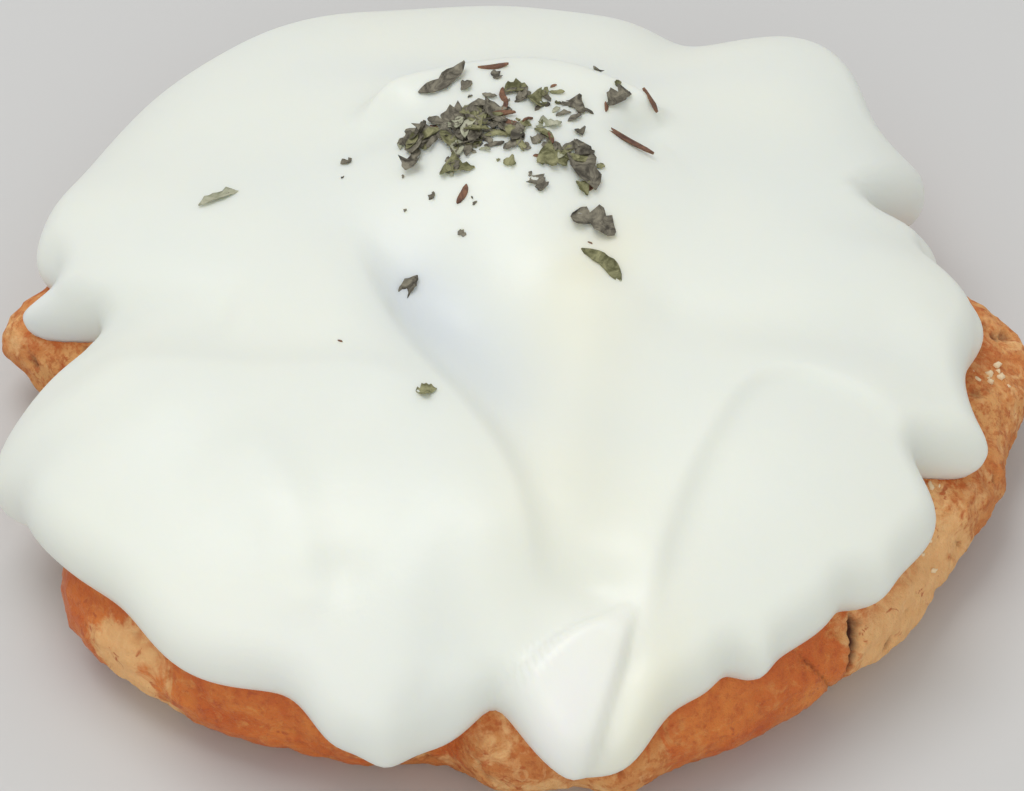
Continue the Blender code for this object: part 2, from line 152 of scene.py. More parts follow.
def loaf_normal(theta, run):
    """Return the direction that leaves the turned loaf, before its bulges."""
    step = 0.5
    before = np.clip(run - step, 0.0, FULL_RUN)
    after = np.clip(run + step, 0.0, FULL_RUN)
    out = (np.interp(after, RUN, SHARE) - np.interp(before, RUN, SHARE)) * SCONE_RADIUS
    drop = np.interp(before, RUN, HEIGHT) - np.interp(after, RUN, HEIGHT)
    length = np.hypot(out, drop)
    outward = drop / length
    return np.stack([outward * np.cos(theta), outward * np.sin(theta), out / length], axis=-1)


print(f"loaf: {2 * SCONE_RADIUS:.0f} mm across, {FULL_RUN:.1f} mm from its middle to its foot")

# %% [markdown]
# ## The form of the cream
#
# Thick cream keeps the marks of the spoon: swells, hollows, folds with one soft and one steep
# side, and a rounded lip where it stopped. A fluid simulation would give none of them where they
# are wanted. So the cream is a thickness over the loaf, built up from named swells and folds, and
# its edge is a height on the loaf's side that named runs pull down.

# %% The cream's sizes
EDGE_HEIGHT = 10.8          # the even edge, above the base
CREAM_BODY = 5.5            # the even thickness
LIP_RADIUS = 3.6            # the edge rounds off over this distance

# Azimuth, half width, height above the even edge.
RUNS = {
    "right ledge": (-6, 7, 1.7),
    "right ear ledge": (12, 5, 0.7),
    "right shoulder bay": (26, 2.8, 3.7),
    "right shoulder drip": (32, 3.6, -3.0),
    "rear right apron": (66, 7, -3.4),
    "rear apron": (100, 8, -4.0),
    "rear left apron": (140, 9, -3.6),
    "left ear bay": (168, 2.2, 1.2),
    "left drip": (171.5, 2.0, -1.0),
    "left crevice": (175.5, 1.8, 2.0),
    "left fold": (-164, 6.3, -4.8),
    "front left rise": (-138, 5, 0.6),
    "front left run": (-126, 6, -0.8),
    "front left apron": (-108.5, 3.4, -2.6),
    "apron tip": (-103.5, 2.0, -1.5),
    "apron slope": (-99, 3.6, -3.4),
    "bay beside the tongue": (-92, 2.2, 1.3),
    "tongue": (-83.2, 3.5, -2.8),
    "tongue heel": (-77.5, 2.8, -1.5),
    "front right rise": (-50, 12, 0.5),
    "heel scallop": (-63.5, 1.8, 0.5),
    "middle scallop": (-60.3, 1.6, -0.5),
    "crack scallop": (-46.5, 2.0, 0.4),
    "far scallop": (-42.0, 2.2, -0.4),
    "right corner drip": (-16, 2.2, -0.6),
    "right bite": (-23.5, 3.2, 2.2),
}

# Centre, half widths, turn, height, measured on the unrolled top of the loaf.
SWELLS = {
    "crown": (1.0, 13.4, 8.8, 7.6, 0, 4.8),
    "front left lobe": (-16.0, -23.0, 11.5, 8.0, 0, 1.8),
    "left lobe": (-31.0, -13.0, 6.0, 5.0, 20, 1.4),
    "front right lobe": (24.0, -20.0, 7.0, 6.0, -30, 1.0),
    "right lobe": (28.0, 5.0, 8.0, 7.0, 0, 0.8),
    "left shoulder": (-26.0, 8.0, 8.0, 6.0, 0, 0.8),
    "hollow": (-5.0, -4.0, 3.8, 6.4, 35, -2.8),
    "crest end left": (-9.4, 18.0, 3.2, 1.4, 28, -0.7),
    "crest end right": (10.6, 17.4, 2.2, 1.4, -38, -0.6),
    "dip above the tongue": (6.8, -32.0, 2.4, 1.6, 0, -1.2),
    "valley left of the tongue": (-3.6, -39.5, 2.2, 3.0, -10, -0.9),
    "right rim": (44.0, 2.0, 5.0, 8.0, 0, -1.8),
    "left rim": (-44.0, 5.0, 5.0, 6.0, 0, -2.0),
    "dimple": (-13.8, -31.6, 1.7, 1.5, 0, -0.4),
    "fill above the apron": (-5.0, -31.0, 4.6, 8.0, 0, 1.3),
    "fill at the left hip": (-38.0, -14.5, 3.6, 3.6, 0, 1.0),
    "right shoulder rim": (37.5, 23.5, 4.0, 4.0, 0, -1.2),
}

# Height, half width left and right of the way, and the way.
FOLDS = {
    "crown crest": (2.7, 0.9, 3.4, [(-13.4, 18.2), (-9.6, 21.6), (-3.4, 23.5), (1.8, 24.2),
                                    (8.1, 22.4), (11.4, 19.8), (12.6, 17.8)]),
    "left bank": (1.15, 1.2, 4.4, [(-14.6, 7), (-12.2, -1), (-8.6, -8.5), (-4.2, -16), (-1.0, -22),
                                   (0.8, -28), (1.4, -35)]),
    "lobe crest": (0.6, 1.6, 4.4, [(-38, -6), (-31, -9), (-24.6, -10.6), (-17, -11.4), (-12, -12.2),
                                   (-6, -16)]),
    "lobe valley": (-0.5, 2.4, 2.6, [(-22, -4), (-30, -3.5), (-42, -1)]),
    "inner arc": (0.35, 1.4, 2.4, [(-22, -16), (-19.6, -20), (-17.6, -24), (-16.6, -28),
                                   (-15.6, -32), (-15, -35)]),
    "centre ridge": (0.9, 2.8, 2.8, [(8, 2), (6.6, -5), (5.4, -14), (4.6, -22), (4.4, -30)]),
    "scoop rim": (0.8, 0.9, 2.8, [(34, -15), (30.6, -11.8), (24.3, -9.6), (19.6, -11.4),
                                  (15.8, -18), (13.0, -25), (11.2, -31), (10.4, -36)]),
    "right valley": (-0.6, 2.2, 2.6, [(10, -3), (18, -4.4), (26, -4.6), (36, -2)]),
    "tongue crease": (-0.6, 0.9, 1.8, [(10.0, -35.4), (8.4, -38.6), (7.0, -41.8), (6.0, -46)]),
}
# Centre, half widths, turn, taper, height: laps of cream with a flat top and a crisp rim.
LAPS = {
    "tongue lap": (3.9, -40.8, 3.2, 8.2, -37, 0.6, 1.1),
}
PATH_SAMPLES = 100          # points read along each way
FOLD_BLEND = 0.04           # distance over which a fold blends its stretches, at the fold
FOLD_SPREAD = 0.06          # and how much that grows with every millimetre away from it
FOLD_END = 0.18             # share of a way over which its ends fade
LAP_RIM = 0.2               # half the rim's width, as a share of the lap's
LAP_TIP = 0.1               # a tapered lap stays at least this share of its width
EDGE_STEPS = 720            # points read round the edge
print(f"cream: {len(RUNS)} runs, {len(SWELLS)} swells, {len(FOLDS)} folds, {len(LAPS)} lap")


# %% Swells, folds and the lip
def edge_run(theta):
    """Return how far down the loaf the cream's edge lies at an angle."""
    return np.interp(-(EDGE_HEIGHT + azimuth_bumps(theta, RUNS)), -HEIGHT, RUN)


def smooth_way(points):
    """Return points along a rounded way through the given ones."""
    points = np.array(points, float)
    padded = np.vstack([2 * points[0] - points[1], points, 2 * points[-1] - points[-2]])
    way = []
    for step in np.linspace(0.0, len(points) - 1 - 1e-9, PATH_SAMPLES):
        index = int(step)
        t = step - index
        a, b, c, d = padded[index:index + 4]
        way.append(0.5 * (2 * b + (c - a) * t + (2 * a - 5 * b + 4 * c - d) * t * t
                          + (3 * b - a - 3 * c + d) * t ** 3))
    return np.array(way)


def fold_height(x, y, height, left, right, points):
    """Return a fold's height: a bell across its way, narrower on one side, fading at its ends."""
    way = smooth_way(points)
    steps = np.diff(way, axis=0)
    from_x = x[..., None] - way[:-1, 0]
    from_y = y[..., None] - way[:-1, 1]
    t = np.clip((from_x * steps[:, 0] + from_y * steps[:, 1]) / (steps ** 2).sum(axis=1), 0.0, 1.0)
    off_x = from_x - t * steps[:, 0]
    off_y = from_y - t * steps[:, 1]
    distance = np.hypot(off_x, off_y)
    width = np.where(steps[:, 0] * off_y > steps[:, 1] * off_x, left, right)
    along = (np.arange(len(steps)) + t) / len(steps)
    fade = ease(along / FOLD_END) * ease((1.0 - along) / FOLD_END)
    nearest = distance.min(axis=-1, keepdims=True)
    weight = np.exp((nearest - distance) / (FOLD_BLEND + FOLD_SPREAD * nearest))
    bell = fade * np.exp(-0.5 * (distance / width) ** 2)
    return height * (weight * bell).sum(axis=-1) / weight.sum(axis=-1)


def swell_height(x, y, centre_x, centre_y, width, depth, turn, height):
    """Return the height of a turned oval bell."""
    cos, sin = math.cos(math.radians(turn)), math.sin(math.radians(turn))
    across = (x - centre_x) * cos + (y - centre_y) * sin
    along = (y - centre_y) * cos - (x - centre_x) * sin
    return height * np.exp(-0.5 * ((across / width) ** 2 + (along / depth) ** 2))


def lap_height(x, y, centre_x, centre_y, width, depth, turn, taper, height):
    """Return the height of a flat lap that narrows along its length."""
    cos, sin = math.cos(math.radians(turn)), math.sin(math.radians(turn))
    across = (x - centre_x) * cos + (y - centre_y) * sin
    along = (y - centre_y) * cos - (x - centre_x) * sin
    across = across / np.maximum(1.0 - taper * along / depth, LAP_TIP)
    reach = (np.abs(across / width) ** 3 + np.abs(along / depth) ** 3) ** (1 / 3)
    return height * ease((1.0 + LAP_RIM - reach) / (2 * LAP_RIM))


def cream_depth(x, y):
    """Return the cream's thickness before its edge rounds off."""
    depth = np.full(x.shape, CREAM_BODY)
    for lap in LAPS.values():
        depth = depth + lap_height(x, y, *lap)
    for swell in SWELLS.values():
        depth = depth + swell_height(x, y, *swell)
    for fold in FOLDS.values():
        depth = depth + fold_height(x, y, *fold)
    return depth


def edge_distance(x, y):
    """Return how far points of the unrolled top lie from the cream's edge."""
    theta = np.linspace(-math.pi, math.pi, EDGE_STEPS + 1)
    reach = edge_run(theta)
    corners = np.stack([reach * np.cos(theta), reach * np.sin(theta)], axis=-1)
    nearest = np.full(x.shape, np.inf)
    for start, end in zip(corners, corners[1:]):
        step_x, step_y = end - start
        from_x, from_y = x - start[0], y - start[1]
        t = np.clip((from_x * step_x + from_y * step_y) / (step_x ** 2 + step_y ** 2), 0.0, 1.0)
        nearest = np.minimum(nearest, (from_x - t * step_x) ** 2 + (from_y - t * step_y) ** 2)
    return np.sqrt(nearest)


def cream_top(theta, run):
    """Return the point of the cream's upper side at an angle and a run."""
    x, y = run * np.cos(theta), run * np.sin(theta)
    inward = np.clip(edge_distance(x, y) / LIP_RADIUS, 0.0, 1.0)
    inward = np.where(run >= edge_run(theta) - 1e-6, 0.0, inward)
    lift = GAP + cream_depth(x, y) * np.sqrt(1.0 - (1.0 - inward) ** 2)
    return loaf_point(theta, run) + loaf_normal(theta, run) * lift[..., None]


crown_x, crown_y, *_ = SWELLS["crown"]
crown_depth = cream_depth(np.array([crown_x]), np.array([crown_y]))[0]
print(f"cream: {crown_depth:.1f} mm deep on its crown")

# %% [markdown]
# ## Blanks from the lathe
#
# Both the crust and the cream start as a drum that a straight rail spins out. The drum's height
# counts its rings, so that a vertex knows its ring and its angle, and one rule moves it to its
# place. A subdivided sphere would spread its vertices more evenly, but rings can be packed
# closely where the relief is.

# %% Spinning a blank
def turned_blank(ring_count, columns):
    """Spin a drum closed at both ends, whose height counts its rings from 0 at the top."""
    bm = bmesh.new()
    ends = [(0.0, 0), *[(1.0, ring) for ring in range(1, ring_count)], (0.0, ring_count)]
    rail = [bm.verts.new((radius, 0.0, -float(ring))) for radius, ring in ends]
    edges = [bm.edges.new(pair) for pair in zip(rail, rail[1:])]
    bmesh.ops.spin(bm, geom=rail + edges, cent=(0, 0, 0), axis=(0, 0, 1), angle=math.tau,
                   steps=columns, use_merge=True)
    bmesh.ops.remove_doubles(bm, verts=bm.verts, dist=1e-4)
    bmesh.ops.recalc_face_normals(bm, faces=bm.faces)
    return bm


def drum_places(bm):
    """Return each vertex's angle and ring."""
    theta = np.array([math.atan2(vert.co.y, vert.co.x) for vert in bm.verts])
    ring = np.array([round(-vert.co.z) for vert in bm.verts])
    return theta, ring


def put_piece(bm, name, points=None):
    """Move the vertices to points in millimetres, and make the bmesh an object in metres."""
    if points is not None:
        for vert, point in zip(bm.verts, points):
            vert.co = Vector(point)
    bmesh.ops.transform(bm, matrix=Matrix.Scale(MM, 4), verts=bm.verts)
    mesh = bpy.data.meshes.new(name)
    bm.to_mesh(mesh)
    bm.free()
    mesh.shade_smooth()
    piece = bpy.data.objects.new(name, mesh)
    bpy.context.scene.collection.objects.link(piece)
    corners = np.array([vert.co for vert in mesh.vertices]) / MM
    span = " x ".join(f"{size:.1f}" for size in corners.max(0) - corners.min(0))
    print(f"{name}: {len(mesh.vertices)} vertices, {span} mm")
    return piece


trial = turned_blank(2, 8)
print(f"a drum of 2 rings and 8 columns has {len(trial.faces)} faces")
trial.free()

# %% [markdown]
# ## The cream
#
# The blank's upper rings lie close together at the lip, where the surface turns under within a
# few millimetres, and wider apart in the middle. Its lower rings follow the crust.

# %% Laying the cream
CREAM_COLUMNS = 480
CREAM_TOP_RINGS = 170
CREAM_UNDER_RINGS = 30
CREAM_SEAT = -0.2           # the underside presses this far into the crust
TOP_CROWDING = 1.5          # how much the upper rings crowd at the lip, 1 is evenly
UNDER_CROWDING = 2

# Where the cream is painted cooler, warmer or brighter: kind, centre, half widths, turn, amount.
# The cool kind is painted shade, partly the cooler tone of thin cream. The warm kind is the cream's
# yellower tone and a herb stain, with painted shade in the tongue's crease. The bright kind is
# painted light.
TINTS = {
    # painted shade: cooler and darker in the hollow, its corner and its foot, partly the cooler tone
    # of thin cream
    "hollow": ("cool_and_painted_shade", -5.6, -4.0, 3.2, 7.0, 32, 0.9),
    "hollow corner": ("cool_and_painted_shade", -7.8, -0.8, 1.6, 2.4, 30, 0.6),
    "hollow foot": ("cool_and_painted_shade", -1.2, -13.5, 1.8, 3.6, 34, 0.3),
    # painted shade on the drips, partly the cooler tone of thin cream
    "left drip": ("cool_and_painted_shade", -43.0, 6.5, 3.0, 3.0, 0, 0.7),
    "right drip": ("cool_and_painted_shade", 38.0, 17.0, 3.0, 3.0, 0, 0.4),
    # painted shade behind the crown's crest and on the lobe's flank
    "crown shade": ("cool_and_painted_shade", 0.5, 27.0, 12.0, 1.8, 0, 0.45),
    "flank shade": ("cool_and_painted_shade", -5.0, -38.0, 2.4, 5.0, 10, 0.1),
    "centre": ("warm_and_painted_shade", 6.0, -5.0, 3.4, 6.0, 0, 0.5),
    "centre foot": ("warm_and_painted_shade", 4.0, -24.0, 5.0, 8.0, 0, 0.35),
    "herb stain": ("warm_and_painted_shade", 8.0, 2.0, 1.8, 3.4, -40, 0.6),
    # painted shade: the yellowish shade in the crease to the right of the tongue's lap
    "tongue crease": ("warm_and_painted_shade", 10.2, -41.5, 2.0, 6.0, -20, 0.7),
    # painted light: the raised tongue lap and the front lobe lit brighter than the cream round them
    "tongue lap": ("painted_light", 4.4, -40.6, 2.4, 6.0, -37, 0.9),
    "front lobe": ("painted_light", -18.0, -37.0, 9.0, 3.5, -25, 0.3),
}


def tint_amount(x, y, kind):
    """Sum the tints of one kind on the unrolled top."""
    total = np.zeros(x.shape)
    for tint_kind, *swell in TINTS.values():
        if tint_kind == kind:
            total = total + swell_height(x, y, *swell)
    return np.clip(total, 0.0, 1.0)


def add_values(piece, name, values):
    """Store one number on each vertex, for the material to read."""
    layer = piece.data.attributes.new(name, "FLOAT", "POINT")
    layer.data.foreach_set("value", np.asarray(values, np.float32))


def make_cream():
    """Make the cream, with its tints held on the vertices: painted shade, painted light and its own
    tones.
    """
    top = 1.0 - (1.0 - np.linspace(0.0, 1.0, CREAM_TOP_RINGS)) ** TOP_CROWDING
    under = 1.0 - np.linspace(0.0, 1.0, CREAM_UNDER_RINGS) ** UNDER_CROWDING
    shares = np.concatenate([top, under[1:]])
    bm = turned_blank(len(shares) - 1, CREAM_COLUMNS)
    theta, ring = drum_places(bm)
    run = edge_run(theta) * shares[ring]
    points = cream_top(theta, run)
    seated = ring >= CREAM_TOP_RINGS
    points[seated] = (loaf_point(theta, run) + loaf_normal(theta, run) * CREAM_SEAT)[seated]
    piece = put_piece(bm, "cream_blanket", points)
    for kind in ("cool_and_painted_shade", "warm_and_painted_shade", "painted_light"):
        add_values(piece, kind, tint_amount(run * np.cos(theta), run * np.sin(theta), kind))
    return piece


cream = make_cream()

# %% [markdown]
# ## The crust
#
# A scone's side is torn and lumpy where the dough swelled, with smooth glazed skin where the egg
# wash ran. Displacement in the shader would not reach the exported mesh, so the lumps, pits and
# cracks move real vertices. They fade where the cream covers the crust and at the flat foot.

# %% Relief of the bare crust
CRUST_COLUMNS = 720
COVERED_RINGS = 12
BARE_RINGS = 74
BARE_RUN = 33.0             # the close rings start here, above the highest bay of the edge

LUMPS = ((6.0, 0.9), (2.6, 0.4), (1.1, 0.24), (0.5, 0.1))     # size, height
PIT_SPACING = 2.6
PIT_DEPTH = 0.9
PIT_CHANCE = 0.1            # a cell whose draw from -1 to 1 is above this holds a pit
PIT_SIZES = (0.16, 0.3)     # the smallest pit and what a draw adds, as shares of the spacing
GLAZED_PITS = 0.15          # how deep pits stay under the glaze
GLAZED_LUMPS = 0.7          # how high lumps stay under the glaze
RELIEF_START = 0.6          # outside the cream's edge
RELIEF_FADE = 2.4
LUMP_SINK = 0.3             # the lumps are lowered by this much, so that they stay in the solid
LIP_SHADE_REACH = 1.0             # painted shade under the cream's lip: the crust darkens and reddens this near the cream

# Where the crust is glazed smooth: azimuth, half width, amount.
GLAZES = {
    "front left patch": (-148, 5, 1.1),
    "front left band": (-120, 10, 1.05),
    "notch side": (-97, 4, 0.5),
    "front right band": (-60, 8.5, 1.5),
    "rear left": (130, 16, 1.0),
    "rear right": (60, 18, 1.0),
}
GLAZE_FOOT = 5.0            # the glaze thins out below this height
# Where pale crumb shows: azimuth, half width, amount.
CRUMBLES = {
    "right corner": (-37, 5, 1.6),
    "right waist": (-27, 6, 0.5),
    "front": (-86, 8, 0.35),
    "front left corner": (-137, 4, 0.9),
    "right ear": (4, 8, 0.2),
    "left ear": (168, 6, 0.2),
}
# Where the skin tore open: azimuth, lean in degrees, half width in millimetres, depth.
CRACKS = {
    "front right": (-46.5, 3.0, 0.2, 1.5),
    "front right branch": (-49.5, -4.0, 0.14, 0.4),
    "left ear": (176.0, 2.0, 0.4, 1.0),
    "rear": (104.0, -4.0, 0.3, 1.2),
}


def lump_relief(point):
    """Return the sum of a few sizes of lumps at a place in millimetres."""
    return sum(height * noise.noise(point / size) for size, height in LUMPS)


def pit_relief(point):
    """Return a torn bubble's depth: some cells of a scattered grid hold one, most do not."""
    distances, cells = noise.voronoi(point / PIT_SPACING)
    chance = noise.cell(cells[0] * 7.3)
    if chance <= PIT_CHANCE:
        return 0.0
    size = PIT_SIZES[0] + PIT_SIZES[1] * chance
    return -PIT_DEPTH * max(0.0, 1.0 - distances[0] / size)


def crack_relief(theta, height):
    """Return the cracks' depth at angles and heights on the loaf."""
    azimuth = np.degrees(theta)
    total = np.zeros_like(azimuth)
    for centre, lean, half_width, depth in CRACKS.values():
        here = centre + lean * (height / BELLY_HEIGHT - 1.0)
        off = (azimuth - here + 180.0) % 360.0 - 180.0
        off = np.radians(off) * SCONE_RADIUS
        total = total - depth * np.exp(-0.5 * (off / half_width) ** 2)
    return total


def make_crust():
    """Make the crust, with its glaze, pale crumb, and the masks of painted shade in its hollows and
    under the cream's lip held on the vertices.
    """
    covered = np.linspace(0.0, BARE_RUN, COVERED_RINGS, endpoint=False)
    bare = np.linspace(BARE_RUN, FULL_RUN, BARE_RINGS)
    runs = np.concatenate([covered, bare, [0.0]])
    bm = turned_blank(len(runs) - 1, CRUST_COLUMNS)
    theta, ring = drum_places(bm)
    run = runs[ring]
    points = loaf_point(theta, run)
    outside = ease((run - edge_run(theta) + RELIEF_START) / RELIEF_FADE)
    above = ease((FULL_RUN - run) / RELIEF_FADE)
    glaze = np.clip(azimuth_bumps(theta, GLAZES), 0.0, 1.0)
    glaze = glaze * (0.5 + 0.5 * ease(points[:, 2] / GLAZE_FOOT))
    relief = np.zeros(len(theta))
    pits = np.zeros(len(theta))
    for index in np.flatnonzero(outside * above > 0.0):
        place = Vector(points[index])
        relief[index] = lump_relief(place)
        pits[index] = pit_relief(place)
    pits = pits * (1.0 - (1.0 - GLAZED_PITS) * glaze)
    cracks = crack_relief(theta, points[:, 2])
    relief = relief * (1.0 - (1.0 - GLAZED_LUMPS) * glaze)
    lift = (relief - LUMP_SINK + pits + cracks) * outside * above
    points = points + loaf_normal(theta, run) * lift[:, None]
    points[ring == len(runs) - 1] = 0.0     # the middle of the flat base
    piece = put_piece(bm, "scone_crust", points)
    add_values(piece, "glaze", glaze)
    add_values(piece, "crumble", np.clip(azimuth_bumps(theta, CRUMBLES), 0.0, 1.0))
    # painted shade: the depth of each pit and crack, which darkens it
    add_values(piece, "hollow", -(pits + cracks) * outside * above)
    # painted shade under the cream's lip: a band of the crust just below its edge
    add_values(piece, "rim", np.exp(-0.5 * ((run - edge_run(theta)) / LIP_SHADE_REACH) ** 2))
    return piece


crust = make_crust()

# %% [markdown]
# ## Loose crumbs
#
# Where the cream stopped, a few pale crumbs of the scone lie on the crust. Scattered instances
# would be dropped by the export, so each crumb is a small ball that noise makes rough, and all of
# them are one mesh. They lie in a few spots along the cream's edge.

# %% Laying the crumbs
# Azimuth, height above or below the cream's edge, spread along and down, count.
CRUMB_SPOTS = {
    "right ear": (1.0, -1.6, 1.4, 0.5, 9),
    "right bite": (-21.0, -1.2, 1.2, 0.7, 10),
    "right corner": (-27.0, -1.8, 1.6, 1.2, 8),
    "rear left": (126.0, -1.6, 2.0, 0.8, 7),
}
CRUMB_SEED = 5
CRUMB_SIZES = (0.15, 0.38)
CRUMB_ROUGHNESS = 0.8
CRUMB_PROUD = 0.3           # how far a crumb's middle stands out, as a share of its radius


def make_crumbs():
    """Lay small rough crumbs on the crust just below the cream's edge."""
    rng = random.Random(CRUMB_SEED)
    bm = bmesh.new()
    for azimuth, drop, along, down, count in CRUMB_SPOTS.values():
        for _ in range(count):
            theta = np.radians(azimuth + rng.gauss(0, along))
            run = float(edge_run(theta)) - drop + rng.gauss(0, down)
            size = rng.uniform(*CRUMB_SIZES)
            verts = bmesh.ops.create_icosphere(bm, subdivisions=2, radius=size)["verts"]
            shift = Vector((rng.uniform(0, 90), 0.0, 0.0))
            for vert in verts:
                vert.co *= 1.0 + CRUMB_ROUGHNESS * noise.noise(vert.co / size + shift)
            lift = size * CRUMB_PROUD - LUMP_SINK
            place = Vector(loaf_point(theta, run)) + Vector(loaf_normal(theta, run)) * lift
            bmesh.ops.translate(bm, vec=place, verts=verts)
    return put_piece(bm, "crumbs")


crumbs = make_crumbs()

# %% [markdown]
# ## The dried herbs
#
# Dried basil and parsley break into curled scraps with ragged rims, a few stalks and dust. A
# scrap could be a flat card, but from the side it would vanish, so each is a small leaf blade:
# a grid that its outline narrows, curled along and across and given a thickness. Four kinds
# differ in colour: grey leaves, green leaves, pale leaves and brown stalks.

# %% The herb scraps' places
# Kind, place on the unrolled loaf, length, width, turn in degrees.
LARGE_FLAKES = {
    "tapered leaf": ("grey", -5.4, 20.9, 5.1, 1.6, 33),
    "brown sliver": ("stalk", -1.3, 22.4, 2.8, 0.8, 5),
    "long stem": ("stalk", 9.4, 15.4, 7.6, 1.0, -33),
    "short stem": ("stalk", 12.0, 19.4, 2.6, 0.9, -50),
    "large leaf": ("grey", 6.3, 10.5, 6.0, 2.4, -72),
    "curled leaf": ("green", 3.7, 10.8, 3.0, 2.0, 20),
    "leaf cluster": ("grey", 7.4, 5.1, 4.2, 2.6, -20),
    "olive strip": ("green", 8.3, 1.0, 5.0, 1.3, -46),
    "oval leaf": ("grey", -8.7, 0.3, 2.7, 1.1, 62),
    "pale sliver": ("pale", -24.6, 10.7, 3.9, 1.0, 30),
    "lone flake": ("green", -6.7, -15.0, 1.8, 1.2, 10),
    "right flake": ("grey", 9.4, 19.0, 2.6, 1.6, 40),
    "rear flake": ("green", 2.6, 18.0, 2.4, 1.8, -20),
    "rear green flake": ("green", 0.6, 19.9, 2.2, 1.2, 10),
    "rear strip": ("grey", 5.6, 17.8, 2.6, 1.2, -35),
    "yellow cluster": ("green", -4.4, 10.3, 3.2, 1.6, 0),
    "heap left": ("grey", -7.2, 14.6, 3.4, 1.8, 20),
    "heap rear": ("grey", -4.2, 16.2, 3.8, 2.0, -15),
    "heap right": ("grey", -1.1, 16.2, 3.2, 1.8, 35),
    "heap front": ("grey", -3.6, 13.2, 3.6, 1.6, 5),
    "heap end": ("grey", 0.3, 13.6, 3.0, 1.4, -40),
    "pale flake": ("pale", 3.4, 14.8, 2.4, 1.4, 15),
    "front flake": ("grey", 2.6, 8.2, 1.8, 1.5, -60),
    "red flake": ("stalk", -3.9, 7.6, 2.0, 1.0, 60),
}
# Draws: count, centre, spread along and across, turn, lengths, width share, lift, tilt.
SCATTERS = {
    "heap": (40, (-4.2, 15.2), (2.1, 1.1), 8, (1.3, 3.2), (0.22, 0.55), 0.5, 0.4),
    "heap right": (22, (-0.6, 15.0), (1.5, 1.0), -30, (1.2, 2.8), (0.22, 0.5), 0.4, 0.4),
    "heap front": (14, (-4.0, 11.4), (1.3, 0.8), 20, (0.9, 2.0), (0.3, 0.6), 0.25, 0.3),
    "right chain": (16, (3.6, 12.6), (2.6, 1.0), -40, (0.9, 2.2), (0.3, 0.6), 0.25, 0.3),
    "rear chain": (14, (3.6, 18.2), (3.0, 0.9), -12, (0.9, 2.0), (0.3, 0.6), 0.2, 0.3),
    "dust": (46, (0.0, 14.0), (6.0, 3.4), 0, (0.4, 1.2), (0.4, 0.8), 0.1, 0.2),
    "far dust": (10, (0.0, 2.0), (8.0, 9.0), 0, (0.3, 0.7), (0.4, 0.8), 0.08, 0.1),
}
HERB_CEILING = 28.85        # no scrap stands higher than this
HERB_SEED = 11
HERB_REST = 0.06            # the least that a scrap's middle lies above the cream
FLAKE_LIFT = 0.1            # and how far a large one does
print(f"herbs: {len(LARGE_FLAKES)} large flakes, {sum(row[0] for row in SCATTERS.values())} draws")


# %% Making one scrap
def frame_on_cream(x, y):
    """Return the matrix whose origin is on the cream over (x, y) and whose Z leaves it."""
    step = 0.4
    spots = np.array([(x, y), (x + step, y), (x, y + step)])
    theta = np.arctan2(spots[:, 1], spots[:, 0])
    points = [Vector(point) for point in cream_top(theta, np.hypot(spots[:, 0], spots[:, 1]))]
    east = (points[1] - points[0]).normalized()
    out = east.cross(points[2] - points[0]).normalized()
    axes = Matrix((east, out.cross(east), out)).transposed()
    return Matrix.Translation(points[0]) @ axes.to_4x4()


def blade(bm, length, width, thickness, curl, cup, ragged, rng):
    """Add one curled, ragged leaf blade at the origin, lying along X, and return its vertices."""
    columns, rows = (9, 4) if length > 1.6 else (6, 3)
    grid = bmesh.ops.create_grid(bm, x_segments=columns, y_segments=rows, size=0.5)["verts"]
    phase = rng.uniform(0, 100)
    bend = rng.uniform(-0.12, 0.12) * length
    for vert in grid:
        u, v = vert.co.x * 2.0, vert.co.y * 2.0
        side = 3.0 * np.sign(v)
        rim = 1.0 + ragged * noise.noise(Vector((u * 1.7 + phase, side, phase)))
        rim += 0.6 * ragged * noise.noise(Vector((u * 4.3 - phase, side, phase)))
        half = 0.5 * width * max(1.0 - abs(u) ** 2.4, 0.03) ** 0.6 * max(rim, 0.15)
        x = u * length / 2
        y = v * half + bend * u * u
        z = curl * u * u * length + cup * (v * half) ** 2 / width
        z += 0.12 * width * noise.noise(Vector((u * 1.7, v * 1.3, phase)))
        vert.co = Vector((x, y, z))
    faces = list({face for vert in grid for face in vert.link_faces})
    solid = bmesh.ops.solidify(bm, geom=faces, thickness=thickness)["geom"]
    return grid + [item for item in solid if isinstance(item, bmesh.types.BMVert)]


STALK_SLIM = 0.6            # a stalk is this share of its row's width
STALK_THICKNESS, LEAF_THICKNESS = 0.22, 0.08
STALK_RAGGED, NARROW_RAGGED, WIDE_RAGGED = 0.2, 0.4, 1.1
NARROW_SHARE = 0.45         # a leaf less wide than this share of its length is narrow
CURLS = (-0.02, 0.07)       # along the blade
CUPS = (0.3, 1.2)           # across it


def lay_scrap(bm, kind, x, y, length, width, turn, lift, tilt, rng):
    """Add one scrap to the kind's bmesh, turned and tilted on the cream."""
    if kind == "stalk":
        width, thickness, ragged = width * STALK_SLIM, STALK_THICKNESS, STALK_RAGGED
    else:
        thickness = LEAF_THICKNESS
        ragged = NARROW_RAGGED if width < NARROW_SHARE * length else WIDE_RAGGED
    curl, cup = rng.uniform(*CURLS), rng.uniform(*CUPS)
    verts = blade(bm, length, width, thickness, curl, cup, ragged, rng)
    place = Matrix.Translation((0, 0, lift)) @ Matrix.Rotation(math.radians(turn), 4, "Z")
    place = place @ Matrix.Rotation(tilt, 4, "X") @ Matrix.Rotation(rng.uniform(-0.2, 0.2), 4, "Y")
    bmesh.ops.transform(bm, matrix=frame_on_cream(x, y) @ place, verts=verts)
    over = max(vert.co.z for vert in verts) - HERB_CEILING
    if over > 0.0:
        bmesh.ops.translate(bm, vec=(0.0, 0.0, -over), verts=verts)


